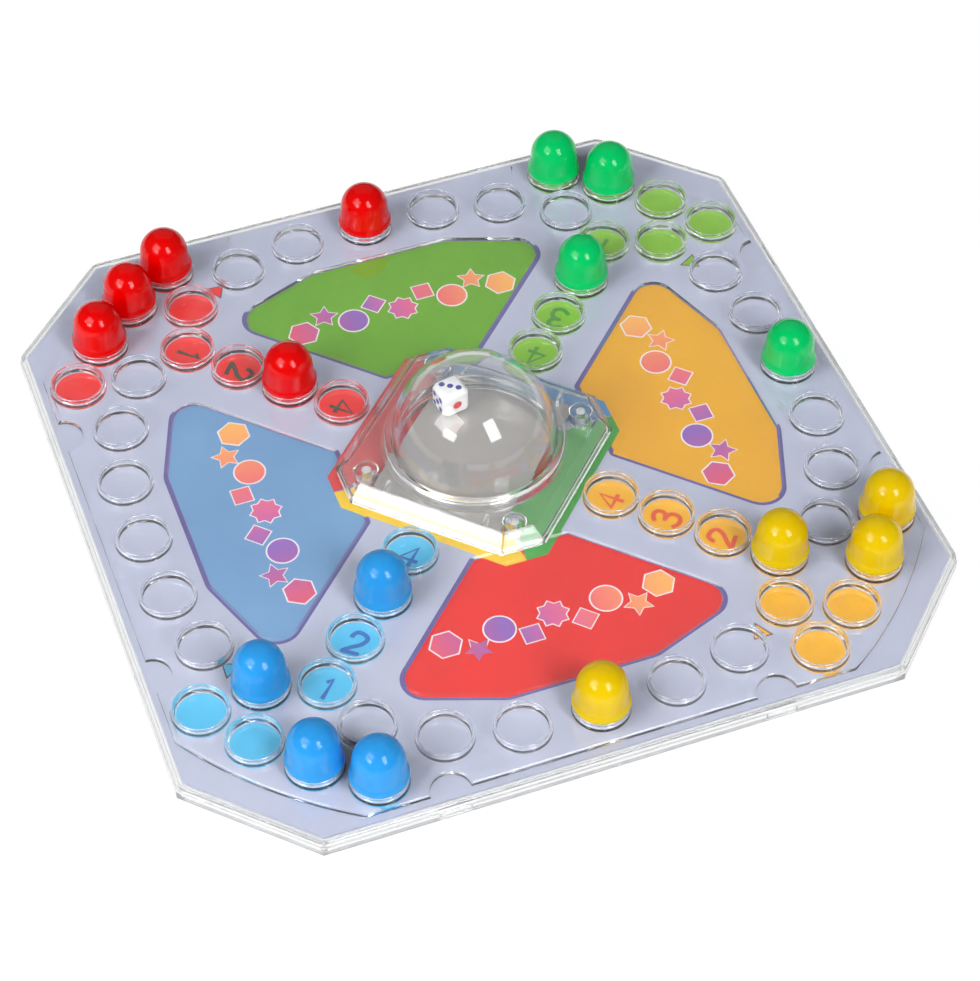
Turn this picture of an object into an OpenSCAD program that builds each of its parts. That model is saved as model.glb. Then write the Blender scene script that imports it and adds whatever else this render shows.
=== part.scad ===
// Pop up dice board game: a clear case with sixty ring wells, a printed card under the
// cover, seventeen pegs and a press dome in the middle that makes a die jump.
// The table is at z = 0, and the long sides of the case lie along X and Y.

/* [Case] */
// Width of the case across its long sides
case_w = 264; // [254:1:304]
// Share of the case width that each corner takes off a long side
corner_share = 0.135; // [0.122:0.001:0.146]
// Height from the table to the top of the play surface
play_z = 10.5; // [9.5:0.1:14]
// Thickness of the moulded walls and of the play surface
wall = 1.6; // [1.2:0.1:2]
// Height of the seam between tray and cover above the table
seam_z = 6.2; // [5.4:0.1:6.4]
// Height of the foot that the tray stands on
foot_h = 3; // [2:0.1:3.4]
// How far the foot is set back from the side of the case
foot_inset = 3; // [2:0.1:5]

/* [Play surface] */
// How far the raised surface stops short of the side of the case
edge_band = 4.5; // [4:0.1:6]
// Radius of the rounded corners of the raised surface, as a share of the case width
surface_share = 0.5722; // [0.5692:0.0005:0.5767]
// Height of the raised surface above the shelf at the edge
step_h = 1.4; // [0.8:0.1:1.5]
// Depth of the four sunken panels
panel_depth = 1; // [0.6:0.1:1.4]
// Distance from the middle to the outer side of a panel, as a share of the case width
panel_share = 0.3805; // [0.374:0.0005:0.384]
// Half the length of the outer side of a panel, as a share of the case width
panel_side_share = 0.0945; // [0.08:0.001:0.11]
// Lean of the two outer flanks of a panel, in degrees
panel_lean = 20; // [14:0.5:26]
// Half the width of the strip between two panels, as a share of the ring pitch
strip_share = 0.93; // [0.88:0.01:0.98]
// Radius of the rounded panel corners
panel_r = 8; // [4:0.5:10]

/* [Ring wells] */
// Gap between two rings of a finish lane
ring_space = 1.2; // [1:0.1:2]
// Width of the wall of a ring
ring_wall = 1; // [0.8:0.1:1.4]
// Height of a ring above the play surface
ring_h = 3.2; // [2:0.1:4]
// Gap between the innermost ring and the popper housing
lane_space = 3.5; // [2:0.1:5]
// Distance of the outermost finish ring from the middle, as a share of the case width
lane_share = 0.4128; // [0.409:0.0005:0.4155]
// Distance of the home rings from the middle, as a share of the case width
home_share = 0.5228; // [0.52:0.0005:0.525]
// Distance from one home ring to the next, as a share of the ring pitch
home_pitch_share = 1.045; // [1.02:0.005:1.06]
// Distance of a start ring along the corner line, as a share of the case width
start_share = 0.4466; // [0.4442:0.0005:0.449]
// Distance of a start ring to the side of the corner line, as a share of the ring pitch
start_side_share = 0.935; // [0.92:0.005:0.95]
// Distance of the three kinds of track ring from the middle line, as shares of the case width
track_shares = [0.4337, 0.4305, 0.4112]; // [0.404:0.0005:0.436]
// Distance of the same rings from the middle of their side, as shares of the case width
track_side_shares = [0, 0.097, 0.1865]; // [0:0.0005:0.197]

/* [Card] */
// Thickness of the printed card
card_t = 0.8; // [0.4:0.1:1]
// Depth of the card below the play surface
card_drop = 2.3; // [2.3:0.1:2.6]
// Gap between the edge of the card and the skirt of the cover
card_gap = 1; // [0.7:0.1:1.3]

/* [Pegs] */
// How much wider a peg's collar is than its ring
collar_more = 0.2; // [0:0.1:0.4]
// Height of a peg's collar
collar_h = 2.3; // [1.6:0.1:3]
// How much slimmer a peg is just above its collar than the collar
peg_less = 1.6; // [1.2:0.1:2.2]
// How much slimmer a peg gets from there to its round top
peg_taper = 0.6; // [0.2:0.1:1.4]
// Height of a peg above the play surface
peg_h = 19.2; // [17.2:0.5:24.2]
// Gap all round between a peg and its ring
peg_gap = 0.4; // [0.3:0.05:0.6]

/* [Popper] */
// Width of the popper housing at its foot
housing_w = 73.6; // [72:0.1:76]
// Length that each corner of the housing takes off a side at its foot
housing_cut = 9.8; // [8:0.1:11]
// Lean of the housing wall from foot to top
housing_lean = 3.4; // [2.6:0.1:3.8]
// Height of the housing above the play surface
housing_h = 6.5; // [6.2:0.1:8]
// Height of the collar round the dome
rim_h = 1.5; // [1:0.1:2.5]
// Width of the collar round the dome
rim_w = 2.2; // [1.6:0.1:3]
// Outer diameter of the dome
dome_d = 55; // [53:0.1:55.6]
// Thickness of the dome
dome_t = 1.5; // [1.2:0.1:1.6]
// Height of the middle of the dome's round top above the play surface
dome_mid = 9.5; // [9:0.1:11]
// Gap between the flange that keeps the dome in and the housing
dome_flange_gap = 0.5; // [0.3:0.1:1]
// Travel of the dome when it is pressed
press_travel = 2; // [1.5:0.1:2.2]
// Gap all round between sliding pieces
slide_gap = 0.3; // [0.2:0.05:0.4]

/* [Leaf spring] */
// Length of the leaf spring
leaf_l = 62; // [61:0.5:64]
// Width of the leaf spring
leaf_w = 46; // [42:0.5:47]
// Thickness of the leaf spring
leaf_t = 0.5; // [0.3:0.05:0.6]
// Rise of the leaf spring in the middle
leaf_rise = 2.4; // [2.3:0.1:2.6]
// Diameter of the opening that the leaf spring bridges
well_d = 56.8; // [56:0.1:57.4]

/* [Disc, die and posts] */
// Diameter of the red disc
disc_d = 54.6; // [50:0.1:55.6]
// Thickness of the red disc
disc_t = 1.2; // [0.8:0.1:1.2]
// Edge length of the die
die_w = 10; // [9:0.1:10.4]
// Diameter of the pips
pip_d = 1.7; // [1.2:0.1:1.8]
// Distance of the die from the middle of the case
die_r = 19.4; // [12:0.1:19.4]
// Distance of the housing posts from the middle of the case
post_r = 38; // [37.6:0.1:38.4]
// Diameter of a housing post
post_d = 6.4; // [5.6:0.1:6.6]
// Diameter of the tray pins that hold the posts
pin_d = 3.2; // [2.6:0.1:3.6]

/* [Catches] */
// Distance of a catch from the middle of its side, as a share of the case width
catch_share = 0.2045; // [0.197:0.001:0.217]
// Radius of the half round hollow above a catch
catch_r = 6.6; // [5:0.1:7.2]
// Width of a catch tongue
tongue_w = 10; // [8:0.5:12]

/* [Hidden] */
$fn = 96;

// Cuts run past the faces they open by this much.
past = 1;
// Pieces of one moulding reach into each other by this much.
bite = 0.3;
// Gap between the seats inside the case.
seat_gap = 0.1;

// Heights
card_z = play_z - card_drop;
card_under_z = card_z - card_t;
shelf_z = play_z - step_h;
floor_under_z = card_z + seat_gap;
panel_z = play_z - panel_depth;
ring_top_z = play_z + ring_h;

// Case
corner_cut = corner_share * case_w;
surface_r = surface_share * case_w;
skirt_in = case_w - 2 * wall;
lip_gap = 0.2;
lip_out = skirt_in - 2 * lip_gap;
card_w = skirt_in - 2 * card_gap;
surface_w = case_w - 2 * edge_band;

// Corner cut of an octagon that runs parallel to the case at another width.
function inner_cut(w) = corner_cut - (case_w - w) * (1 - 1 / sqrt(2));

// Octagon: a square of width w with c taken off each corner.
function octagon(w, c) = [
    for (q = [0 : 3], s = [-1, 1])
        let (a = 90 * q, x = s * (w / 2 - c), y = -w / 2)
        [x * cos(a) - y * sin(a), x * sin(a) + y * cos(a)]
];

// Rings: one pitch sets the size of the rings and the pegs.
lane_r = lane_share * case_w;
lane_pitch = (lane_r - housing_w / 2 - lane_space + ring_space / 2) / 3.5;
ring_d = lane_pitch - ring_space;
ring_out_r = ring_d / 2;
ring_in_r = ring_out_r - ring_wall;
home_r = home_share * case_w;
home_step = 2 * asin(home_pitch_share * lane_pitch / 2 / home_r);
start_x = start_share * case_w;
start_y = start_side_share * lane_pitch;

// Places: corner 0 is front left, and the corners follow clockwise seen from above.
function corner_a(q) = -135 - 90 * q;
function polar(r, a) = [r * cos(a), r * sin(a)];
function turned(p, a) = [p[0] * cos(a) - p[1] * sin(a), p[0] * sin(a) + p[1] * cos(a)];
function home_place(q, k) = polar(home_r, corner_a(q) + (1.5 - k) * home_step);
function lane_place(q, k) = polar(lane_r - k * lane_pitch, corner_a(q));
function start_place(q) = turned([start_x, -start_y], corner_a(q));
// Five track rings of a side, and the ring beside the next corner.
track = [
    for (k = [-2 : 2])
        case_w * [track_shares[abs(k)], -sign(k) * track_side_shares[abs(k)]]
];
function track_place(q, k) =
    k < 5 ? turned(track[k], corner_a(q) - 45) : turned([start_x, start_y], corner_a(q + 1));
all_places = [
    for (q = [0 : 3]) each [
        for (k = [0 : 3]) home_place(q, k),
        for (k = [0 : 3]) lane_place(q, k),
        start_place(q),
        for (k = [0 : 5]) track_place(q, k)
    ]
];
blue = 0;
red = 1;
green = 2;
yellow = 3;
red_places = [
    home_place(red, 1), home_place(red, 2), home_place(red, 3),
    lane_place(red, 2), track_place(red, 2)
];
green_places = [
    home_place(green, 0), home_place(green, 1), lane_place(green, 1), track_place(green, 2)
];
yellow_places = [
    home_place(yellow, 0), home_place(yellow, 1), lane_place(yellow, 0), track_place(yellow, 2)
];
blue_places = [
    home_place(blue, 0), home_place(blue, 1), lane_place(blue, 2), start_place(blue)
];

// Panel outline: the left panel, with its axis along -X and its point at the middle.
panel_reach = panel_share * case_w;
panel_side = panel_side_share * case_w;
panel_apex = strip_share * lane_pitch * sqrt(2);
panel_tip_y = (panel_reach + panel_side * tan(panel_lean) - panel_apex) / (1 + tan(panel_lean));
panel_tip_x = panel_tip_y + panel_apex;
panel_mouth_x = post_r + post_d / 2 + 1.6;
panel_mouth_y = panel_mouth_x - panel_apex;
panel_points = [
    [-panel_mouth_x, panel_mouth_y],
    [-panel_tip_x, panel_tip_y],
    [-panel_reach, panel_side],
    [-panel_reach, -panel_side],
    [-panel_tip_x, -panel_tip_y],
    [-panel_mouth_x, -panel_mouth_y]
];
panel_radii = [0.5, panel_r, panel_r, panel_r, panel_r, 0.5];

// Rounds each corner of an outline with its own radius, in steps of an arc.
arc_steps = 8;
function unit(v) = v / norm(v);
function arc_point(p, a, b, r, t) =
    let (u = unit(a - p), v = unit(b - p), m = unit(u + v), s = abs(cross(u, m)))
    let (c = p + m * r / s, n1 = unit(nearest(p, u, c) - c), n2 = unit(nearest(p, v, c) - c))
    let (turn = acos(n1 * n2))
    c + r * (n1 * sin((1 - t) * turn) + n2 * sin(t * turn)) / sin(turn);
function nearest(p, u, c) = p + u * ((c - p) * u);
function rounded(points, radii) = [
    for (i = [0 : len(points) - 1], k = [0 : arc_steps])
        arc_point(
            points[i],
            points[(i + len(points) - 1) % len(points)],
            points[(i + 1) % len(points)],
            radii[i],
            k / arc_steps
        )
];

// Popper heights
housing_top_z = play_z + housing_h;
housing_under_z = housing_top_z - wall;
rim_top_z = housing_top_z + rim_h;
housing_top_w = housing_w - 2 * housing_lean;
dome_out_r = dome_d / 2;
dome_in_r = dome_out_r - dome_t;
dome_mid_z = play_z + dome_mid;
hole_r = dome_out_r + slide_gap;
dome_flange_r = housing_w / 2 - wall - housing_lean - dome_flange_gap;
dome_flange_t = 1.2;
dome_flange_z = housing_under_z - slide_gap - dome_flange_t;
leaf_base_z = play_z + 0.05;
leaf_r = (pow(leaf_l / 2, 2) + pow(leaf_rise, 2)) / (2 * leaf_rise);
leaf_touch = sqrt(pow(dome_out_r, 2) - pow(leaf_w / 2, 2));
// Height of the top of the leaf spring at a distance v from its middle.
function leaf_top_z(v) = leaf_base_z + leaf_t + leaf_rise * (1 - pow(2 * v / leaf_l, 2));
dome_foot_z = leaf_top_z(leaf_touch) + 0.4;
// The corner faces of the housing lean inward a little more than its sides.
function popper_cut(w) = housing_cut - (housing_w - w) * 0.36;

// Keepers over the corners of the leaf spring and stops beyond its ends
keeper_side = 17;
keeper_w = 4.5;
keeper_in = leaf_l / 2 - 3;
keeper_out = housing_top_w / 2 - slide_gap;
stop_in = leaf_l / 2 + slide_gap;
keeper_z = leaf_top_z(keeper_in) + slide_gap;

// Pegs
collar_d = ring_d + collar_more;
peg_d = collar_d - peg_less;
peg_top_d = peg_d - peg_taper;

// Posts and pins
post_angles = [0, 90, 180, 270];
post_hole_d = post_d + 2 * slide_gap;
pin_top_z = housing_under_z - 1;
pin_bore_d = pin_d + 2 * seat_gap;
post_foot_d = 8;

// Die
die_a = 95;
die_turn = 10;
die_x = die_r * cos(die_a);
die_y = die_r * sin(die_a);
die_round_r = 0.72 * die_w;
die_leaf_v = abs(die_x + die_y) / sqrt(2) - die_w / 2;
die_seat_z = leaf_top_z(max(die_leaf_v, 0));
die_gap = 0.2;
die_mid_z = die_seat_z + die_gap + die_w / 2;
pip_step = die_w / 4;
pip_sink = 0.3;
// Offsets of the pips on a face, in pip steps, for one to six pips.
pip_sets = [
    [[0, 0]],
    [[-1, -1], [1, 1]],
    [[-1, 0], [0, 0], [1, 0]],
    [[-1, -1], [-1, 1], [1, -1], [1, 1]],
    [[-1, -1], [-1, 1], [0, 0], [1, -1], [1, 1]],
    [[-1, -1], [0, -1], [1, -1], [-1, 1], [0, 1], [1, 1]]
];
// Turn that brings the top face of the die to the face with one to six pips.
pip_faces = [
    [90, 0, 0],
    [0, 90, 0],
    [0, 0, 0],
    [180, 0, 0],
    [0, -90, 0],
    [-90, 0, 0]
];

// Catches
catch_x = catch_share * case_w;
catch_offsets = [-catch_x, catch_x];
tongue_t = 0.9;
tongue_gap = 0.2;
tongue_z = foot_h + 0.7;

module octagon_prism(w, c, z, h) {
    translate([0, 0, z])
        linear_extrude(h)
            polygon(octagon(w, c));
}

module tube(out_r, in_r, z, h) {
    translate([0, 0, z])
        difference() {
            cylinder(r = out_r, h = h);
            translate([0, 0, -past])
                cylinder(r = in_r, h = h + 2 * past);
        }
}

module on_posts() {
    for (a = post_angles)
        translate(polar(post_r, a))
            children();
}

module on_catches() {
    for (a = post_angles, x = catch_offsets)
        rotate(a)
            translate([x, -case_w / 2, 0])
                children();
}

module case_prism(w, z, h) {
    octagon_prism(w, inner_cut(w), z, h);
}

// Bottom tray: foot, side wall, the plate under the card, four pins and four small feet.
module bottom_tray() {
    foot_w = case_w - 2 * foot_inset;
    plate_z = card_under_z - wall;
    color([0.93, 0.95, 0.96, 0.4])
    difference() {
        union() {
            difference() {
                union() {
                    case_prism(foot_w, 0, foot_h + bite);
                    case_prism(case_w, foot_h, seam_z - foot_h);
                    case_prism(lip_out, foot_h, card_under_z - foot_h);
                }
                case_prism(foot_w - 2 * wall, -past, plate_z + past);
            }
            on_posts()
                cylinder(d = post_foot_d, h = plate_z + bite);
            on_posts()
                translate([0, 0, plate_z])
                    cylinder(d = pin_d, h = pin_top_z - plate_z);
        }
        on_catches()
            translate([-tongue_w / 2 - tongue_gap, -past, tongue_z - tongue_gap])
                cube([tongue_w + 2 * tongue_gap, tongue_t + tongue_gap + past, case_w]);
    }
}

// Left panel as a flat outline.
module panel_outline() {
    polygon(rounded(panel_points, panel_radii));
}

module ring() {
    tube(ring_out_r, ring_in_r, play_z - bite, ring_h + bite);
}

module raised_outline() {
    intersection() {
        square(surface_w, center = true);
        circle(r = surface_r);
    }
}

// Top cover: skirt, edge shelf, raised surface with sunken panels, rings and catches.
module top_cover() {
    color([0.93, 0.95, 0.97, 0.4])
    difference() {
        union() {
            difference() {
                case_prism(case_w, seam_z, shelf_z - seam_z);
                case_prism(skirt_in, seam_z - past, floor_under_z - seam_z + past);
            }
            translate([0, 0, floor_under_z])
                linear_extrude(play_z - floor_under_z)
                    raised_outline();
            for (p = all_places)
                translate(p)
                    ring();
            on_catches()
                translate([-tongue_w / 2, 0, tongue_z])
                    cube([tongue_w, tongue_t, seam_z - tongue_z + bite]);
        }
        for (a = post_angles)
            rotate(a)
                translate([0, 0, panel_z])
                    linear_extrude(play_z)
                        panel_outline();
        on_catches()
            translate([0, edge_band, shelf_z])
                cylinder(r = catch_r, h = play_z);
        translate([0, 0, floor_under_z - past])
            cylinder(d = well_d, h = play_z);
        on_posts()
            translate([0, 0, floor_under_z - past])
                cylinder(d = post_hole_d, h = play_z);
    }
}

// Printed card, held between the lip of the tray and the underside of the cover.
module game_card() {
    color([0.78, 0.79, 0.86])
    difference() {
        octagon_prism(card_w, inner_cut(card_w), card_under_z, card_t);
        on_posts()
            translate([0, 0, card_under_z - past])
                cylinder(d = pin_d + 2 * slide_gap, h = card_t + 2 * past);
    }
}

module popper_prism(w, z, h) {
    rotate(45)
        octagon_prism(w, popper_cut(w), z, h);
}

module leaning_block(foot_w, top_w, z0, z1) {
    thin = 0.01;
    hull() {
        popper_prism(foot_w, z0, thin);
        popper_prism(top_w, z1 - thin, thin);
    }
}

// Keeper: a block over a corner of the leaf spring with a stop beyond its end.
module keeper() {
    translate([keeper_side, keeper_in, keeper_z])
        cube([keeper_w, keeper_out - keeper_in, housing_under_z + bite - keeper_z]);
    translate([keeper_side, stop_in, play_z])
        cube([keeper_w, keeper_out - stop_in, housing_under_z + bite - play_z]);
}

// Housing: leaning walls, a top with the dome's hole, four posts and four keepers.
module popper_housing() {
    lean_under = housing_lean * (housing_h - wall) / housing_h;
    color([0.95, 0.97, 0.98, 0.35])
    difference() {
        union() {
            difference() {
                leaning_block(housing_w, housing_top_w, play_z, housing_top_z);
                leaning_block(
                    housing_w - 2 * wall,
                    housing_w - 2 * wall - 2 * lean_under,
                    play_z - bite,
                    housing_under_z
                );
            }
            translate([0, 0, housing_under_z])
                cylinder(r = hole_r + rim_w, h = wall + rim_h);
            on_posts()
                translate([0, 0, card_z])
                    cylinder(d = post_d, h = housing_under_z + bite - card_z);
            for (a = [-45, 135], m = [0, 1])
                rotate(a)
                    mirror([m, 0, 0])
                        keeper();
        }
        translate([0, 0, housing_under_z - past])
            cylinder(r = hole_r, h = wall + rim_h + 2 * past);
        on_posts()
            translate([0, 0, card_z - past])
                cylinder(d = pin_bore_d, h = pin_top_z + seat_gap - card_z + past);
    }
}

// Dome: half sphere on a short tube, with a flange under the top of the housing.
module popper_dome() {
    color([0.96, 0.98, 0.99, 0.3])
    union() {
        difference() {
            union() {
                translate([0, 0, dome_mid_z])
                    sphere(r = dome_out_r);
                translate([0, 0, dome_foot_z])
                    cylinder(r = dome_out_r, h = dome_mid_z - dome_foot_z);
            }
            translate([0, 0, dome_mid_z])
                sphere(r = dome_in_r);
            translate([0, 0, dome_mid_z - case_w])
                cylinder(r = dome_in_r, h = case_w);
            translate([0, 0, dome_foot_z - case_w])
                cylinder(r = case_w, h = case_w);
        }
        tube(dome_flange_r, dome_out_r - bite, dome_flange_z, dome_flange_t);
    }
}

// Leaf spring: a steel strip that bridges the well, arched a little in the middle.
module leaf_spring() {
    mid_z = leaf_base_z + leaf_rise - leaf_r;
    color([0.75, 0.76, 0.77])
    rotate(-45)
        intersection() {
            translate([0, 0, mid_z])
                rotate([0, 90, 0])
                    difference() {
                        cylinder(r = leaf_r + leaf_t, h = leaf_w, center = true, $fn = 360);
                        cylinder(r = leaf_r, h = leaf_w + 2 * past, center = true, $fn = 360);
                    }
            translate([0, 0, play_z + case_w / 2])
                cube([leaf_w + 2 * past, leaf_l, case_w], center = true);
        }
}

module red_disc() {
    color([0.85, 0.1, 0.12])
        translate([0, 0, card_z])
            cylinder(d = disc_d, h = disc_t);
}

module die() {
    color([0.97, 0.97, 0.97])
    translate([die_x, die_y, die_mid_z])
        rotate(die_turn)
            difference() {
                intersection() {
                    cube(die_w, center = true);
                    sphere(r = die_round_r);
                }
                for (n = [0 : 5], p = pip_sets[n])
                    rotate(pip_faces[n])
                        translate([p[0] * pip_step, p[1] * pip_step, die_w / 2 + pip_d / 2 - pip_sink])
                            sphere(d = pip_d, $fn = 32);
            }
}

// Peg: a plug in the ring, a collar on its rim, a slim body and a round top.
module peg(place) {
    collar_z = ring_top_z + slide_gap;
    body_z = collar_z + collar_h;
    round_z = play_z + peg_h - peg_top_d / 2;
    plug_z = play_z + peg_gap;
    translate(place) {
        translate([0, 0, plug_z])
            cylinder(r = ring_in_r - peg_gap, h = collar_z + bite - plug_z);
        translate([0, 0, collar_z])
            cylinder(d = collar_d, h = collar_h);
        translate([0, 0, body_z - bite])
            cylinder(d1 = peg_d, d2 = peg_top_d, h = round_z - body_z + bite);
        translate([0, 0, round_z])
            sphere(d = peg_top_d);
    }
}

module red_peg(i) {
    color([0.95, 0.05, 0.05])
        peg(red_places[i]);
}

module green_peg(i) {
    color([0.0, 0.75, 0.38])
        peg(green_places[i]);
}

module yellow_peg(i) {
    color([1.0, 0.85, 0.0])
        peg(yellow_places[i]);
}

module blue_peg(i) {
    color([0.15, 0.55, 0.98])
        peg(blue_places[i]);
}

bottom_tray();
top_cover();
game_card();
popper_housing();
popper_dome();
leaf_spring();
red_disc();
die();
red_peg(0);  // red_peg_1
red_peg(1);  // red_peg_2
red_peg(2);  // red_peg_3
red_peg(3);  // red_peg_4
red_peg(4);  // red_peg_5
green_peg(0);  // green_peg_1
green_peg(1);  // green_peg_2
green_peg(2);  // green_peg_3
green_peg(3);  // green_peg_4
yellow_peg(0);  // yellow_peg_1
yellow_peg(1);  // yellow_peg_2
yellow_peg(2);  // yellow_peg_3
yellow_peg(3);  // yellow_peg_4
blue_peg(0);  // blue_peg_1
blue_peg(1);  // blue_peg_2
blue_peg(2);  // blue_peg_3
blue_peg(3);  // blue_peg_4
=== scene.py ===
import math

import bmesh
import bpy
from mathutils import Matrix, Vector


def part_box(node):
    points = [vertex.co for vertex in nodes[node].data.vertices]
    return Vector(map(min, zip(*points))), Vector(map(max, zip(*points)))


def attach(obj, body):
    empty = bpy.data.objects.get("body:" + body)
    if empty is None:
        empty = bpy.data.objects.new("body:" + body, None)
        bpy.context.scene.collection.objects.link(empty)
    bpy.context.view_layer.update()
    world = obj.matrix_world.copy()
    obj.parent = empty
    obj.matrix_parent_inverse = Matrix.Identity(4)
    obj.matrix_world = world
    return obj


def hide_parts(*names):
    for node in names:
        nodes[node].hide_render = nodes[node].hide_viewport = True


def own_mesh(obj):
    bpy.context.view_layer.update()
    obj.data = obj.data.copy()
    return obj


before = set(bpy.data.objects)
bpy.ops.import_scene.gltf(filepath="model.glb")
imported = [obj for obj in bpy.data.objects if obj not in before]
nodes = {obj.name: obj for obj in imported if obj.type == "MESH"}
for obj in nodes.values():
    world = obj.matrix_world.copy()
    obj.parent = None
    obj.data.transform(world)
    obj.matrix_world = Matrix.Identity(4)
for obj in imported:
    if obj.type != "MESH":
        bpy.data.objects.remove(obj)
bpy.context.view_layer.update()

# Sizes in millimetres, heights over the table.
MM = 0.001
PLAY = 10.5
SHELF = PLAY - 1.4
CARD_TOP = 8.2
COVER_UNDER = 8.3
SEAM = 6.2
CASE_W = 264.0
CORNER_CUT = 35.64
SURFACE_W = 255.0
SURFACE_R = 151.06
NOTCH_X = 54.0
NOTCH_R = 6.6
PITCH = 19.8
PANEL_REACH = 100.5
PANEL_SIDE = 25.0
PANEL_MOUTH = 42.8
HOUSING_W = 73.6
SHELL_TOP = PLAY + 6.5
SHELL_UNDER = PLAY + 4.9
SPRING_L = 62.0
SPRING_W = 46.0
SPRING_TURN = -45
DOME_MID = PLAY + 9.5
DOME_R = 27.5
DOME_IN_R = 26.0
DIE_W = 10.0
COLOURS = ["blue", "red", "green", "yellow"]
QUARTER_COLOUR = ["blue", "red", "yellow", "green"]


# ---------------------------------------------------------------- camera

def direction(azimuth, elevation):
    """From the object to a place, with azimuth 0 in front of it, along -Y."""
    a, e = math.radians(azimuth), math.radians(elevation)
    return Vector((math.sin(a) * math.cos(e), -math.cos(a) * math.cos(e), math.sin(e)))


def place_camera():
    data = bpy.data.cameras.new("photo_camera")
    data.lens = 106.11
    data.sensor_width = 36
    data.clip_start = 0.05
    data.clip_end = 20
    camera = bpy.data.objects.new("photo_camera", data)
    bpy.context.scene.collection.objects.link(camera)
    target = Vector((-1.35, -18.60, PLAY)) * MM
    back = direction(-20.26, 48.85)
    camera.location = target + back * 0.9552
    camera.rotation_mode = "QUATERNION"
    camera.rotation_quaternion = (-back).to_track_quat("-Z", "Y")
    bpy.context.scene.camera = camera


place_camera()


# ---------------------------------------------------------------- materials

class Term:
    """A socket's value in a sum or product."""

    def __init__(self, finish, socket):
        self.finish = finish
        self.socket = socket

    def _with(self, operation, first, second):
        return self.finish.node("ShaderNodeMath", {"operation": operation}, {0: first, 1: second})

    def __add__(self, other):
        return self._with("ADD", self, other)

    def __radd__(self, other):
        return self._with("ADD", other, self)

    def __sub__(self, other):
        return self._with("SUBTRACT", self, other)

    def __rsub__(self, other):
        return self._with("SUBTRACT", other, self)

    def __mul__(self, other):
        return self._with("MULTIPLY", self, other)

    def __rmul__(self, other):
        return self._with("MULTIPLY", other, self)


class Finish:
    """A material built round one Principled shader."""

    def __init__(self, name, **sockets):
        self.material = bpy.data.materials.new(name)
        self.material.use_nodes = True
        self.tree = self.material.node_tree
        self.shader = self.tree.nodes["Principled BSDF"]
        for socket, value in sockets.items():
            self.set(socket.replace("_", " "), value)

    def set(self, socket, value):
        self._feed(self.shader.inputs[socket], value)

    def _feed(self, target, value):
        if isinstance(value, Term):
            self.tree.links.new(value.socket, target)
        elif isinstance(value, (tuple, list)) and target.type == "RGBA" and len(value) == 3:
            target.default_value = (*value, 1.0)
        else:
            target.default_value = value

    def node(self, kind, settings=None, inputs=None, output=0):
        made = self.tree.nodes.new(kind)
        for key, value in (settings or {}).items():
            if key == "stops":
                ramp = made.color_ramp
                while len(ramp.elements) < len(value):
                    ramp.elements.new(0.5)
                for element, (place, colour) in zip(ramp.elements, value):
                    element.position = place
                    element.color = (*colour, 1.0) if len(colour) == 3 else colour
            else:
                setattr(made, key, value)
        for key, value in (inputs or {}).items():
            self._feed(made.inputs[key], value)
        return Term(self, made.outputs[output])

    def place(self, scale=(1, 1, 1), turn=0.0):
        """The piece's own coordinates, scaled and turned about Z."""
        coordinates = self.node("ShaderNodeTexCoord", output=3)
        return self.node(
            "ShaderNodeMapping", None,
            {"Vector": coordinates, "Scale": scale, "Rotation": (0, 0, turn)},
        )

    def noise(self, where, scale, detail=3.0, roughness=0.55):
        return self.node(
            "ShaderNodeTexNoise", None,
            {"Vector": where, "Scale": scale, "Detail": detail, "Roughness": roughness},
        )

    def between(self, share, low, high):
        """A colour between two colours, or a number between two numbers."""
        if isinstance(low, (tuple, list)) or isinstance(low, Term) and low.socket.type == "RGBA":
            return self.node(
                "ShaderNodeMix", {"data_type": "RGBA"},
                {"Factor": share, 6: low, 7: high}, output=2,
            )
        return self.node(
            "ShaderNodeMapRange", None, {"Value": share, "To Min": low, "To Max": high},
        )

    def step(self, value, low, high):
        """0 below low, 1 above high."""
        return self.node(
            "ShaderNodeMapRange", {"clamp": True},
            {"Value": value, "From Min": low, "From Max": high, "To Min": 0.0, "To Max": 1.0},
        )

    def bump(self, height, strength, distance):
        self.set("Normal", self.node(
            "ShaderNodeBump", None, {"Height": height, "Strength": strength, "Distance": distance},
        ))


def shade(*rgb):
    """A colour as it looks on a screen, 0 to 255, as shader values."""
    return tuple(
        (c / 255 / 12.92) if c / 255 <= 0.04045 else ((c / 255 + 0.055) / 1.055) ** 2.4
        for c in rgb
    )


def clear_plastic(name, tint, clearness=0.97):
    """Clear styrene: smooth, with faint flow marks, a few rubbed places and a little haze.

    Its shadow is pale where the light goes straight through and darker where it grazes.
    """
    finish = Finish(name, Base_Color=tint, IOR=1.5, Transmission_Weight=clearness)
    where = finish.place()
    rubbed = finish.noise(where, 60.0, 4.0)
    finish.set("Roughness", finish.between(finish.step(rubbed, 0.55, 0.8), 0.012, 0.07))
    finish.bump(finish.noise(where, 35.0, 1.0), 0.02, 0.001)
    shadow_ray = finish.node("ShaderNodeLightPath", output=1)
    grazed = finish.node("ShaderNodeLayerWeight", None, {"Blend": 0.35}, output=1)
    finish.set("Alpha", 1 - shadow_ray * (0.95 - grazed * 0.45))
    return finish.material


def gloss_plastic(name, colour, deep, roughness=0.1, glow=0.12):
    """Glossy moulded plastic with a faint change of tone and small moulding waves."""
    finish = Finish(name, Specular_IOR_Level=0.35, Subsurface_Weight=glow, Subsurface_Scale=0.005)
    finish.shader.inputs["Subsurface Radius"].default_value = (1.0, 0.8, 0.8)
    where = finish.place()
    tone = finish.noise(where, 90.0, 2.0)
    finish.set("Base Color", finish.between(tone, deep, colour))
    rubbed = finish.noise(where, 240.0, 4.0)
    dull = finish.step(rubbed, 0.45, 0.8)
    finish.set("Roughness", finish.between(dull, roughness, roughness + 0.1))
    finish.bump(finish.noise(where, 130.0, 2.0), 0.03, 0.001)
    return finish.material


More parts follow.
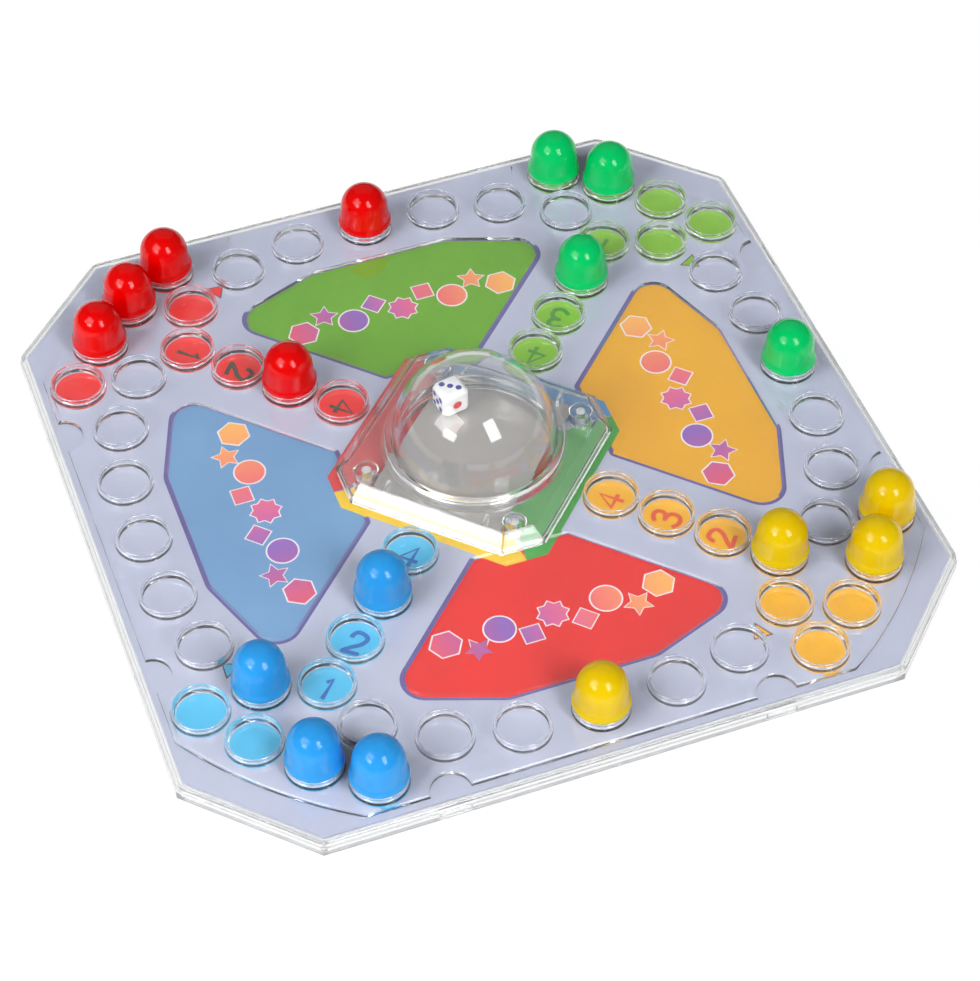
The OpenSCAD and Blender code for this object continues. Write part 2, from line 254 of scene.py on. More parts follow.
def print_ink(name, colour, second=None):
    """Offset print on card: a fine dot grain and slow changes of density."""
    finish = Finish(name, Specular_IOR_Level=0.2)
    where = finish.place()
    cloud = finish.noise(where, 28.0, 2.0)
    dots = finish.node("ShaderNodeTexVoronoi", None, {"Vector": where, "Scale": 2600.0})
    deep = second or tuple(c * 0.9 for c in colour)
    ink = finish.between(finish.step(cloud, 0.3, 0.7), colour, deep)
    grain = finish.step(dots, 0.1, 0.9) * 0.12
    finish.set("Base Color", finish.between(grain, ink, tuple(min(1, c * 1.25) for c in colour)))
    finish.set("Roughness", finish.between(cloud, 0.4, 0.53))
    finish.bump(finish.noise(where, 1400.0, 2.0), 0.05, 0.0002)
    return finish.material


def spring_steel(name):
    """Rolled strip steel: dull grey, with fine lines along the strip."""
    finish = Finish(name, Metallic=0.55, Specular_IOR_Level=0.3)
    lines = finish.noise(finish.place((900.0, 18.0, 900.0), math.radians(45)), 1.0, 4.0)
    smudge = finish.noise(finish.place(), 45.0, 3.0)
    finish.set("Base Color", finish.between(smudge, shade(186, 181, 177), shade(198, 194, 190)))
    finish.set("Roughness", finish.between(lines, 0.14, 0.26))
    finish.bump(lines, 0.03, 0.0003)
    return finish.material


CLEAR = clear_plastic("clear_styrene", (0.985, 0.99, 0.995))
CLEAR_DOME = clear_plastic("clear_dome", (0.99, 0.994, 0.996))
CLEAR_EDGE = clear_plastic("clear_edge", (0.985, 0.99, 0.995), clearness=0.86)
CLEAR_TRAY = clear_plastic("clear_tray", (0.98, 0.986, 0.993), clearness=0.78)
STEEL = spring_steel("strip_steel")
GROUND = print_ink("card_ground", shade(190, 195, 215), shade(184, 189, 210))
RED_SHEET = gloss_plastic("red_sheet", shade(206, 32, 40), shade(190, 24, 32), 0.25)
DIE_WHITE = gloss_plastic("die_white", shade(250, 250, 250), shade(243, 243, 245), 0.15)
PIP_BLUE = gloss_plastic("pip_blue", shade(48, 60, 160), shade(40, 50, 145), 0.3)
PIP_RED = gloss_plastic("pip_red", shade(226, 30, 50), shade(205, 24, 44), 0.3)
PEG_FINISH = {
    "red": gloss_plastic("peg_red", shade(255, 0, 0), shade(252, 0, 0), glow=0.5),
    "green": gloss_plastic("peg_green", shade(0, 226, 122), shade(0, 218, 114), glow=0.5),
    "yellow": gloss_plastic("peg_yellow", shade(255, 222, 0), shade(255, 204, 0), glow=0.35),
    "blue": gloss_plastic("peg_blue", shade(56, 176, 255), shade(48, 168, 255), glow=0.5),
}
WELL_INK = {
    "red": print_ink("well_red", shade(244, 16, 6)),
    "green": print_ink("well_lime", shade(134, 196, 24)),
    "yellow": print_ink("well_amber", shade(253, 186, 0)),
    "blue": print_ink("well_cyan", shade(77, 196, 240)),
}
PANEL_INK = {
    "blue": print_ink("panel_blue", shade(118, 164, 206), shade(108, 154, 197)),
    "green": print_ink("panel_green", shade(108, 174, 6), shade(100, 166, 4)),
    "yellow": print_ink("panel_orange", shade(241, 179, 6), shade(232, 168, 4)),
    "red": print_ink("panel_red", shade(236, 22, 2), shade(226, 18, 2)),
}
POPPER_INK = {
    "red": print_ink("popper_red", shade(222, 58, 56)),
    "blue": print_ink("popper_blue", shade(96, 156, 208)),
    "green": print_ink("popper_green", shade(70, 172, 70)),
    "yellow": print_ink("popper_yellow", shade(250, 208, 40)),
}
MARK_INK = {
    "red": print_ink("numeral_olive", shade(74, 62, 40)),
    "green": print_ink("numeral_green", shade(70, 150, 40)),
    "yellow": print_ink("numeral_orange", shade(238, 92, 40)),
    "blue": print_ink("numeral_blue", shade(40, 110, 190)),
}
OUTLINE_INK = print_ink("outline_ink", shade(96, 60, 70))
# Violet line round each sunken panel: painted shade along the panel's edge, where the recess meets
# the ground.
PANEL_SHADE_INK = print_ink("panel_edge_shade_ink", shade(104, 94, 158), shade(92, 84, 146))
WHITE_INK = print_ink("white_ink", shade(246, 240, 240))


def blended_ink(name, along, half):
    """Print that runs from pink over violet and coral to orange along a row of motifs."""
    finish = Finish(name, Roughness=0.4, Specular_IOR_Level=0.35)
    where = finish.place()
    parts = finish.node("ShaderNodeSeparateXYZ", None, {"Vector": where}, output=along)
    share = parts * (0.5 / (half * MM)) + 0.5
    ink = finish.node("ShaderNodeValToRGB", {"stops": [
        (0.0, shade(226, 66, 110)), (0.3, shade(134, 84, 186)), (0.5, shade(222, 84, 150)),
        (0.68, shade(244, 104, 96)), (1.0, shade(255, 182, 74)),
    ]}, {"Fac": share})
    dots = finish.node("ShaderNodeTexVoronoi", None, {"Vector": where, "Scale": 2600.0})
    grain = finish.step(dots, 0.1, 0.9) * 0.1
    finish.set("Base Color", finish.between(grain, ink, (1.0, 0.9, 0.9)))
    finish.bump(finish.noise(where, 1400.0, 2.0), 0.05, 0.0002)
    return finish.material


MOTIF_INK = [blended_ink("motif_ink_across", 0, 40.0), blended_ink("motif_ink_along", 1, 40.0)]


# ---------------------------------------------------------------- meshes

def polar(radius, degrees):
    return Vector((
        radius * math.cos(math.radians(degrees)), radius * math.sin(math.radians(degrees)), 0.0,
    ))


def turned(points, degrees):
    c, s = math.cos(math.radians(degrees)), math.sin(math.radians(degrees))
    return [(x * c - y * s, x * s + y * c) for x, y in points]


def finish_piece(bm, name, materials, body="case", angle=35, weighted=True, replaces=()):
    """Turns a bmesh into an object that rides on a body."""
    mesh = bpy.data.meshes.new(name)
    bm.to_mesh(mesh)
    bm.free()
    for material in materials if isinstance(materials, (list, tuple)) else [materials]:
        mesh.materials.append(material)
    mesh.shade_smooth()
    mesh.set_sharp_from_angle(angle=math.radians(angle))
    piece = bpy.data.objects.new(name, mesh)
    bpy.context.scene.collection.objects.link(piece)
    if weighted:
        modifier = piece.modifiers.new("even_shading", "WEIGHTED_NORMAL")
        modifier.keep_sharp = True
        modifier.weight = 80
    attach(piece, body)
    if replaces:
        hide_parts(*replaces)
    return piece


def clear_piece(bm, name, material=CLEAR, **settings):
    piece = finish_piece(bm, name, material, **settings)
    return piece


def close_up(bm):
    bmesh.ops.remove_doubles(bm, verts=bm.verts[:], dist=1e-7)
    bmesh.ops.recalc_face_normals(bm, faces=bm.faces[:])


def loop(bm, points, height):
    verts = [bm.verts.new((x * MM, y * MM, height * MM)) for x, y in points]
    return [bm.edges.new((a, b)) for a, b in zip(verts, verts[1:] + verts[:1])]


def band(bm, outline, profile):
    """A wall whose outline is drawn in by each margin of the profile, one loop for each height."""
    loops = [loop(bm, outline(margin), height) for margin, height in profile]
    for lower, upper in zip(loops, loops[1:]):
        bmesh.ops.bridge_loops(bm, edges=lower + upper)
    return loops


def lathe(bm, profile, centre=(0.0, 0.0), steps=48):
    """A profile of (radius, height) turned round a vertical axis."""
    x, y = centre[0], centre[1]
    verts = [bm.verts.new(((x + r) * MM, y * MM, h * MM)) for r, h in profile]
    edges = [bm.edges.new(pair) for pair in zip(verts, verts[1:])]
    bmesh.ops.spin(
        bm, geom=verts + edges, cent=(x * MM, y * MM, 0), axis=(0, 0, 1),
        angle=math.tau, steps=steps, use_merge=True, use_duplicate=False,
    )


def stamp(bm, part, moves):
    """Adds a copy of a part at each place, and ends the part."""
    mesh = bpy.data.meshes.new("stamp")
    part.to_mesh(mesh)
    part.free()
    for move in moves:
        known = len(bm.verts)
        bm.from_mesh(mesh)
        bm.verts.ensure_lookup_table()
        bmesh.ops.transform(bm, matrix=move, verts=bm.verts[known:])
    bpy.data.meshes.remove(mesh)


def shift(place, height=0.0):
    return Matrix.Translation(Vector((place[0], place[1], height)) * MM)


def block(bm, size, move):
    """A box of a size in millimetres."""
    verts = bmesh.ops.create_cube(bm, size=1.0)["verts"]
    grow = Matrix.Diagonal((size[0] * MM, size[1] * MM, size[2] * MM, 1))
    bmesh.ops.transform(bm, matrix=move @ grow, verts=verts)


def ease_edges(bm, offset, segments=2):
    bmesh.ops.bevel(
        bm, geom=bm.edges[:], offset=offset * MM, segments=segments, profile=0.5,
        affect="EDGES", material=-1,
    )


def fill_level(bm, height):
    """Fills the open loops that lie at one height, with the loops inside them left open."""
    rims = [
        e for e in bm.edges
        if e.is_boundary and all(abs(v.co.z - height * MM) < 1e-7 for v in e.verts)
    ]
    made = bmesh.ops.triangle_fill(bm, edges=rims, use_beauty=True, normal=(0, 0, 1))["geom"]
    return [g for g in made if isinstance(g, bmesh.types.BMFace)]


def circle(radius, steps=64, centre=(0.0, 0.0)):
    return [
        (centre[0] + radius * math.cos(math.tau * k / steps),
         centre[1] + radius * math.sin(math.tau * k / steps))
        for k in range(steps)
    ]


def rounded(points, radii, steps=6):
    """A convex outline with its corners rounded."""
    made = []
    count = len(points)
    for i, corner in enumerate(points):
        p = Vector(corner)
        a = (Vector(points[i - 1]) - p).normalized()
        b = (Vector(points[(i + 1) % count]) - p).normalized()
        half = a.angle(b) / 2
        reach = radii[i] / math.tan(half)
        middle = p + (a + b).normalized() * radii[i] / math.sin(half)
        start, end = p + a * reach - middle, p + b * reach - middle
        turn = start.angle(end)
        for k in range(steps + 1):
            t = k / steps
            v = (start * math.sin((1 - t) * turn) + end * math.sin(t * turn)) / math.sin(turn)
            made.append(tuple(middle + v))
    return made


def drawn_in(points, margin):
    """A convex outline, anticlockwise, with each side moved inward."""
    lines = []
    for a, b in zip(points, points[1:] + points[:1]):
        a, b = Vector(a), Vector(b)
        along = (b - a).normalized()
        inward = Vector((-along.y, along.x))
        lines.append((a + inward * margin, along))
    made = []
    for (p, u), (q, v) in zip(lines[-1:] + lines[:-1], lines):
        cross = u.x * v.y - u.y * v.x
        t = ((q.x - p.x) * v.y - (q.y - p.y) * v.x) / cross
        made.append(tuple(p + u * t))
    return made


def octagon(width, cut):
    half = width / 2
    side = half - cut
    return [
        (-side, -half), (side, -half), (half, -side), (half, side),
        (side, half), (-side, half), (-half, side), (-half, -side),
    ]


def case_outline(margin):
    return rounded(drawn_in(octagon(CASE_W, CORNER_CUT), margin), [max(5.5 - margin, 0.3)] * 8, 5)


def surface_outline(margin):
    """Raised play surface: long sides with two half round notches each, and arcs at the corners."""
    flat, arc, notch = SURFACE_W / 2 - margin, SURFACE_R - margin, NOTCH_R + margin
    end = math.sqrt(arc ** 2 - flat ** 2)
    rise = math.asin(margin / notch)
    side = [(-end, -flat)]
    for x in (-NOTCH_X, NOTCH_X):
        for k in range(15):
            a = math.pi - rise - (math.pi - 2 * rise) * k / 14
            side.append((x + notch * math.cos(a), -SURFACE_W / 2 + notch * math.sin(a)))
    first = math.degrees(math.atan2(-flat, end))
    for k in range(14):
        point = polar(arc, first + (-90 - 2 * first) * k / 14)
        side.append((point.x, point.y))
    return [p for q in range(4) for p in turned(side, 90 * q)]


def panel_outline(quarter):
    """One sunken panel; quarter 0 is the left one, and the others follow anticlockwise."""
    apex = 18.41 * math.sqrt(2)
    lean = math.tan(math.radians(20))
    tip_y = (PANEL_REACH + PANEL_SIDE * lean - apex) / (1 + lean)
    tip_x = tip_y + apex
    mouth_y = PANEL_MOUTH - apex
    corners = [
        (-PANEL_MOUTH, mouth_y), (-tip_x, tip_y), (-PANEL_REACH, PANEL_SIDE),
        (-PANEL_REACH, -PANEL_SIDE), (-tip_x, -tip_y), (-PANEL_MOUTH, -mouth_y),
    ]
    radii = [0.6, 8, 9, 9, 8, 0.6]

    def outline(margin):
        inner = drawn_in(corners, margin)
        return turned(rounded(inner, [max(r - margin * 0.8, 0.4) for r in radii], 8), 90 * quarter)

    return outline


# ---------------------------------------------------------------- places

def corner_angle(q):
    return -135 - 90 * q


def home_place(q, k):
    return polar(138.0, corner_angle(q) + (1.5 - k) * 8.597)


def lane_place(q, k):
    return polar(109.0 - k * PITCH, corner_angle(q))


def aside(x, y, degrees):
    px, py = turned([(x, y)], degrees)[0]
    return Vector((px, py, 0.0))


def start_place(q):
    return aside(117.9, -18.51, corner_angle(q))


def track_place(q, k):
    ahead = [108.55, 113.65, 114.5, 113.65, 108.55][k]
    side = [49.24, 25.61, 0.0, -25.61, -49.24][k]
    return aside(ahead, side, corner_angle(q) - 45)


def all_places():
    made = []
    for q in range(4):
        made += [home_place(q, k) for k in range(4)]
        made += [lane_place(q, k) for k in range(4)]
        made += [start_place(q)]
        made += [track_place(q, k) for k in range(5)]
        made += [aside(117.9, 18.51, corner_angle(q + 1))]
    return made


POSTS = [polar(38.0, a) for a in (0, 90, 180, 270)]


# ---------------------------------------------------------------- top cover

def ring_profile():
    """Foot of the ring outside, over its rounded rim, and down to the dished floor."""
    return [
        (9.84, 0.0), (9.62, 0.06), (9.46, 0.22), (9.38, 0.5), (9.26, 1.6), (9.2, 2.65),
        (9.12, 2.93), (8.97, 3.12), (8.78, 3.2), (8.6, 3.16), (8.46, 3.02), (8.38, 2.75),
        (8.3, 1.7), (8.18, 0.9), (8.02, 0.42), (7.82, 0.12), (7.5, -0.06), (6.6, -0.18),
        (5.0, -0.31), (3.2, -0.4), (1.5, -0.44), (0.0, -0.45),
    ]


def build_cover():
    bm = bmesh.new()
    ring = bmesh.new()
    lathe(ring, [(r, PLAY + h) for r, h in ring_profile()], steps=40)
    stamp(bm, ring, [shift(place) for place in all_places()])
    band(bm, surface_outline, [
        (1.25, PLAY), (0.95, PLAY - 0.06), (0.65, PLAY - 0.24), (0.35, PLAY - 0.52),
        (0.12, PLAY - 0.82), (0.0, PLAY - 1.12), (0.0, SHELF),
    ])
    for quarter in range(4):
        band(bm, panel_outline(quarter), [
            (0.0, PLAY), (0.3, PLAY - 0.02), (0.55, PLAY - 0.1), (0.8, PLAY - 0.3),
            (1.25, PLAY - 0.74), (1.5, PLAY - 0.9), (1.8, PLAY - 0.97), (2.4, PLAY - 1.0),
        ])
    band(bm, lambda margin: circle(28.4 + margin, 96), [
        (0.3, PLAY), (0.0, PLAY - 0.3), (0.0, COVER_UNDER),
    ])
    for post in POSTS:
        band(bm, lambda margin, at=post: circle(3.5, 32, at), [
            (0.0, PLAY), (0.0, COVER_UNDER),
        ])
    clear = set(bm.faces)
    band(bm, case_outline, [
        (1.3, SHELF), (0.75, PLAY - 1.47), (0.3, PLAY - 1.7), (0.06, PLAY - 2.1),
        (0.0, PLAY - 2.6), (0.0, 6.5), (0.12, 6.26), (0.35, SEAM),
    ])
    band(bm, case_outline, [(1.3, SEAM), (1.55, 6.35), (1.6, 6.6), (1.6, COVER_UNDER)])
    for face in set(bm.faces) - clear:
        face.material_index = 1
    for height in (PLAY, PLAY - 1.0, SHELF, COVER_UNDER, SEAM):
        fill_level(bm, height)
    close_up(bm)
    return clear_piece(bm, "cover_moulding", [CLEAR, CLEAR_EDGE], replaces=["top_cover"])


def build_tongues():
    bm = bmesh.new()
    for q in range(4):
        for x in (-NOTCH_X, NOTCH_X):
            spin = Matrix.Rotation(math.radians(90 * q), 4, "Z")
            block(bm, (10.0, 0.86, 2.46), spin @ shift((x, 0.44 - CASE_W / 2), 4.94))
    ease_edges(bm, 0.2)
    return clear_piece(bm, "catch_tongues")


cover = build_cover()
tongues = build_tongues()


# ---------------------------------------------------------------- popper

def shell_outline(margin):
    """Popper shell in plan, drawn in from the side of its foot."""
    corners = octagon(HOUSING_W - 2 * margin, 9.8 - 0.72 * margin)
    return turned(rounded(corners, [1.3] * 8, 4), 45)


def build_housing():
    bm = bmesh.new()
    band(bm, shell_outline, [(m, PLAY + h) for m, h in (
        (-1.35, 0.02), (-1.5, 0.15), (-1.5, 1.45), (-1.38, 1.68), (-1.1, 1.8), (2.9, 6.05),
        (3.1, 6.25), (3.4, 6.4), (3.8, 6.46), (4.3, 6.5),
    )])
    band(bm, shell_outline, [(m, PLAY + h) for m, h in (
        (0.5, 0.02), (0.5, 1.5), (0.75, 1.9), (3.4, 4.7), (3.8, 4.9),
    )])
    lathe(bm, [
        (30.6, SHELL_TOP), (30.2, PLAY + 6.6), (30.0, PLAY + 6.9), (29.9, PLAY + 7.5),
        (29.6, PLAY + 7.85), (29.1, PLAY + 8.0), (28.4, PLAY + 8.0), (28.0, PLAY + 7.85),
        (27.8, PLAY + 7.5), (27.8, PLAY + 5.1), (28.0, SHELL_UNDER),
    ], steps=96)
    bmesh.ops.remove_doubles(bm, verts=bm.verts[:], dist=1e-7)
    for height in (PLAY + 0.02, SHELL_UNDER, SHELL_TOP):
        fill_level(bm, height)
    close_up(bm)
    return clear_piece(bm, "popper_shell", replaces=["popper_housing"])


def build_posts():
    """Posts that sit on the tray's pins and flare where they meet the shell's top."""
    bm = bmesh.new()
    for post in POSTS:
        lathe(bm, [
            (0.0, 14.5), (1.6, 14.5), (1.7, 14.4), (1.7, 8.25), (3.0, 8.25), (3.2, 8.45),
            (3.2, PLAY + 3.2), (3.35, PLAY + 4.0), (3.7, PLAY + 4.55), (4.1, PLAY + 4.86),
            (0.0, PLAY + 4.86),
        ], post, 40)
    close_up(bm)
    return clear_piece(bm, "housing_posts")


def build_keepers():
    """Ribs over the corners of the leaf spring, with a stop beyond its ends."""
    bm = bmesh.new()
    for turn in (SPRING_TURN, SPRING_TURN + 180):
        for side in (-17.7, 17.7):
            for low, high, bottom, top in (
                (28.0, 32.6, 11.7, PLAY + 4.86), (31.3, 32.6, PLAY + 0.05, 11.65),
            ):
                middle = (side, (low + high) / 2)
                spin = Matrix.Rotation(math.radians(turn), 4, "Z")
                block(bm, (1.2, high - low, top - bottom), spin @ shift(middle, (bottom + top) / 2))
    ease_edges(bm, 0.25)
    return clear_piece(bm, "spring_keepers")


def build_dome():
    bm = bmesh.new()
    outer, inner = [
        [
            (radius * math.cos(a), DOME_MID + radius * math.sin(a))
            for a in [math.radians(90 * k / 28) for k in range(28)]
        ]
        for radius in (DOME_R, DOME_IN_R)
    ]
    rim = [
        (26.0, 13.5), (26.2, 13.32), (27.3, 13.32), (27.5, 13.5), (27.5, 13.9), (31.0, 13.9),
        (31.3, 14.1), (31.3, 14.9), (31.0, 15.1), (27.7, 15.1), (27.5, 15.3),
    ]
    crown = [(0.0, DOME_MID + DOME_IN_R)], [(0.0, DOME_MID + DOME_R)]
    lathe(bm, crown[0] + inner[::-1] + rim + outer + crown[1], steps=128)
    close_up(bm)
    return clear_piece(bm, "press_dome", CLEAR_DOME, body="dome", replaces=["popper_dome"])


def build_spring():
    """Arched strip that bridges the opening."""
    bm = bmesh.new()
    half_l, half_w, base, rise, thick = SPRING_L / 2, SPRING_W / 2, PLAY + 0.05, 2.4, 0.5
    corners = [(-half_w, -half_l), (half_w, -half_l), (half_w, half_l), (-half_w, half_l)]
    loop(bm, rounded(corners, [1.2] * 4, 5), 0.0)
    bmesh.ops.triangle_fill(bm, edges=bm.edges[:], use_beauty=True, normal=(0, 0, 1))
    for count, gap, along in ((15, 2, (0, 1, 0)), (3, 6, (1, 0, 0))):
        for k in range(-count, count + 1):
            bmesh.ops.bisect_plane(
                bm, geom=bm.verts[:] + bm.edges[:] + bm.faces[:],
                plane_co=Vector(along) * k * gap * MM, plane_no=along,
            )
    for vert in bm.verts:
        vert.co.z = (base + rise * (1 - (vert.co.y / MM / half_l) ** 2)) * MM
    grown = bmesh.ops.extrude_face_region(bm, geom=bm.faces[:])["geom"]
    lifted = [g for g in grown if isinstance(g, bmesh.types.BMVert)]
    bmesh.ops.translate(bm, verts=lifted, vec=(0, 0, thick * MM))
    spin = Matrix.Rotation(math.radians(SPRING_TURN), 3, "Z")
    bmesh.ops.rotate(bm, cent=(0, 0, 0), matrix=spin, verts=bm.verts[:])
    close_up(bm)
    piece = finish_piece(
        bm, "spring_strip", STEEL, angle=50, weighted=False, replaces=["leaf_spring"],
    )
    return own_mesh(piece)


housing = build_housing()
posts = build_posts()
keepers = build_keepers()
dome = build_dome()
spring = build_spring()


# ---------------------------------------------------------------- pegs and die

def peg_profile():
    """Foot inside the ring, rounded collar on its rim, and a body with a round top."""
    top_r, top_mid = 8.3, 10.9
    arc = [
        (top_r * math.cos(a), top_mid + top_r * math.sin(a))
        for a in [math.radians(90 * k / 14) for k in range(14)]
    ]
    return [
        (0.0, 0.4), (6.9, 0.4), (7.5, 0.5), (7.8, 0.8), (7.9, 1.2), (7.9, 3.3), (8.0, 3.46),
        (8.9, 3.5), (9.2, 3.58), (9.36, 3.8), (9.4, 4.1), (9.38, 4.6), (9.3, 5.1), (9.12, 5.5),
        (8.92, 5.8), (8.76, 6.2), (8.66, 6.9), (8.56, 8.0), (8.44, 9.5),
    ] + arc + [(0.0, 19.2)]


def build_peg(node, colour, place):
    bm = bmesh.new()
    lathe(bm, [(r, PLAY + h) for r, h in peg_profile()], place, 56)
    close_up(bm)
    piece = finish_piece(
        bm, node.replace("_peg_", "_pawn_"), PEG_FINISH[colour], body=node, angle=60,
        weighted=False, replaces=[node],
    )


PEG_PLACES = {
    "red": [
        home_place(1, 1), home_place(1, 2), home_place(1, 3), lane_place(1, 2), track_place(1, 2),
    ],
    "green": [home_place(2, 0), home_place(2, 1), lane_place(2, 1), track_place(2, 2)],
    "yellow": [home_place(3, 0), home_place(3, 1), lane_place(3, 0), track_place(3, 2)],
    "blue": [home_place(0, 0), home_place(0, 1), lane_place(0, 2), start_place(0)],
}
for colour, places in PEG_PLACES.items():
    for number, place in enumerate(places, 1):
        build_peg(f"{colour}_peg_{number}", colour, place)


def build_die():
    """Rounded cube with dished pips, painted blue, and a larger red one."""
    bm = bmesh.new()
    bmesh.ops.create_cube(bm, size=DIE_W * MM)
    ease_edges(bm, 1.7, 8)
    reach = 6.95 * MM
    for vert in bm.verts:
        if vert.co.length > reach:
            vert.co = vert.co.normalized() * reach
    flats = [f for f in bm.faces if f.calc_area() > (5 * MM) ** 2]
    bmesh.ops.delete(bm, geom=flats, context="FACES_ONLY")
    near, far = -2.12, 2.12
    four = [(near, near), (far, far), (near, far), (far, near)]
    sides = [
        ([(0, 0)], "X", 90), (four[:2], "Y", 90), (four[:2] + [(0, 0)], "X", 0),
        (four, "X", 180), (four + [(0, 0)], "Y", -90), (four + [(near, 0), (far, 0)], "X", -90),
    ]
    for spots, axis, degrees in sides:
        spin = Matrix.Rotation(math.radians(degrees), 4, axis)
        bmesh.ops.transform(bm, matrix=spin.inverted(), verts=bm.verts[:])
        r, colour = (1.65, 2) if len(spots) == 1 else (1.08, 1)
        for x, y in spots:
            known = set(bm.faces)
            lathe(bm, [
                (r, 5.0), (r * 0.96, 4.9), (r * 0.82, 4.76), (r * 0.55, 4.64), (0.0, 4.58),
            ], (x, -y), 20)
            for face in set(bm.faces) - known:
                face.material_index = colour
        for face in fill_level(bm, 5.0):
            face.material_index = 0
        bmesh.ops.transform(bm, matrix=spin, verts=bm.verts[:])
    low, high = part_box("die")
    place = Matrix.Translation((Vector(low) + Vector(high)) / 2)
    spin = Matrix.Rotation(math.radians(10), 4, "Z")
    bmesh.ops.transform(bm, matrix=place @ spin, verts=bm.verts[:])
    close_up(bm)
    piece = finish_piece(
        bm, "die_body", [DIE_WHITE, PIP_BLUE, PIP_RED], body="die", angle=50, replaces=["die"],
    )
    return piece


die = build_die()


# ---------------------------------------------------------------- card and print

def thicken(bm, thick=0.015):
    """Gives flat print the thickness of a layer of ink."""
    grown = bmesh.ops.extrude_face_region(bm, geom=bm.faces[:])["geom"]
    lifted = [g for g in grown if isinstance(g, bmesh.types.BMVert)]
    bmesh.ops.translate(bm, verts=lifted, vec=(0, 0, thick * MM))
    close_up(bm)


def flat_print(name, outlines, height, ink):
    """Thin layer of print on the card."""
    bm = bmesh.new()
    for outline in outlines:
        loop(bm, outline, height)
    bmesh.ops.triangle_fill(bm, edges=bm.edges[:], use_beauty=True, normal=(0, 0, 1))
    thicken(bm)
    piece = finish_piece(bm, name, ink, weighted=False)
    return piece


for quarter, colour in enumerate(QUARTER_COLOUR):
    outline = panel_outline(quarter)
    flat_print(f"panel_print_{colour}", [outline(0.4)], CARD_TOP + 0.002, PANEL_INK[colour])
    # A violet band over each panel's edge, painted shade of the recess wall.
    flat_print(f"panel_edge_shade_{colour}", [outline(-0.45), outline(0.6)], CARD_TOP + 0.02, PANEL_SHADE_INK)

for q, colour in enumerate(COLOURS):
    wells = [home_place(q, k) for k in range(4)] + [lane_place(q, k) for k in range(4)]
    circles = [circle(8.8, 48, well) for well in wells + [start_place(q)]]
    flat_print(f"well_print_{colour}", circles, CARD_TOP + 0.03, WELL_INK[colour])

for colour, turn in (("red", 135), ("blue", 45), ("green", -45), ("yellow", 225)):
    half, cut = 40.1, 10.2
    side = half - cut
    mid = half - cut / 2
    inner = [(x, y) for x, y in circle(26.0, 64) if x > 0 and abs(y) < x - 0.01]
    inner.sort(key=lambda p: -math.atan2(p[1], p[0]))
    wedge = [(mid, -mid), (half, -side), (half, side), (mid, mid)] + inner
    flat_print(
        f"popper_print_{colour}", [turned(wedge, turn)], CARD_TOP + 0.04, POPPER_INK[colour],
    )


NUMERALS = {
    1: [("POLY", [(-0.16, 0.26), (0.02, 0.48), (0.02, -0.5)])],
    2: [("NURBS", [
        (-0.28, 0.2), (-0.26, 0.5), (0.04, 0.56), (0.36, 0.42), (0.26, 0.06), (-0.1, -0.22),
        (-0.34, -0.5), (-0.3, -0.5), (0.0, -0.46), (0.34, -0.42),
    ])],
    3: [("NURBS", [
        (-0.28, 0.36), (-0.1, 0.56), (0.28, 0.5), (0.28, 0.14), (0.0, 0.04), (-0.08, 0.04),
        (0.06, 0.06), (0.36, -0.06), (0.32, -0.48), (-0.08, -0.58), (-0.3, -0.34),
    ])],
    4: [("POLY", [(0.12, -0.5), (0.12, 0.5), (-0.36, -0.16), (0.38, -0.16)])],
}


def numeral(number, height):
    """A plain numeral drawn with a round pen, as a flat shape of a height in millimetres."""
    curve = bpy.data.curves.new("numeral", "CURVE")
    curve.dimensions = "3D"
    curve.bevel_depth = 0.095
    curve.bevel_resolution = 2
    curve.use_fill_caps = True
    curve.resolution_u = 6
    for kind, points in NUMERALS[number]:
        spline = curve.splines.new(kind)
        spline.points.add(len(points) - 1)
        for point, (x, y) in zip(spline.points, points):
            point.co = (x, y, 0, 1)
        if kind == "NURBS":
            spline.order_u = 3
            spline.use_endpoint_u = True
    sign = bpy.data.objects.new("numeral", curve)
    bpy.context.scene.collection.objects.link(sign)
    bpy.context.view_layer.update()
    flat = sign.evaluated_get(bpy.context.evaluated_depsgraph_get()).to_mesh()
    part = bmesh.new()
    part.from_mesh(flat)
    bpy.data.objects.remove(sign)
    bpy.data.curves.remove(curve)
    bmesh.ops.scale(part, verts=part.verts[:], vec=(height * MM, height * MM, 0.12 * MM))
    bmesh.ops.remove_doubles(part, verts=part.verts[:], dist=1e-7)
    return part


for q, colour in enumerate(COLOURS):
    bm = bmesh.new()
    for k in range(4):
        spin = Matrix.Rotation(math.radians(corner_angle(q) + 90), 4, "Z")
        stamp(bm, numeral(k + 1, 8.6), [shift(lane_place(q, k), CARD_TOP + 0.055) @ spin])
    close_up(bm)
    piece = finish_piece(bm, f"numerals_{colour}", MARK_INK[colour], weighted=False)

ARROW = [(113.9, -35.0), (111.5, -28.5), (118.8, -30.4)]
for q, colour in enumerate(COLOURS):
    arrow = turned(ARROW, corner_angle(q))
    flat_print(f"arrow_edge_{colour}", [arrow], CARD_TOP + 0.03, OUTLINE_INK)
    flat_print(f"arrow_{colour}", [drawn_in(arrow[::-1], 0.45)], CARD_TOP + 0.05, WELL_INK[colour])


def star(points, outer, inner, turn=0.0):
    return [
        tuple(polar(outer if k % 2 == 0 else inner, turn + 180 * k / points)[:2])
        for k in range(2 * points)
    ]


def motif(kind, size):
    """A plain shape about its middle."""
    if kind == "disc":
        return circle(size, 32)
    if kind == "star":
        return star(5, size * 1.15, size * 0.58, 90)
    if kind == "flower":
        return star(8, size * 1.05, size * 0.8, 0)
    sides, turn = {"square": (4, 45), "diamond": (4, 0), "hexagon": (6, 30)}[kind]
    return [tuple(polar(size * 1.05, turn + 360 * k / sides)[:2]) for k in range(sides)]


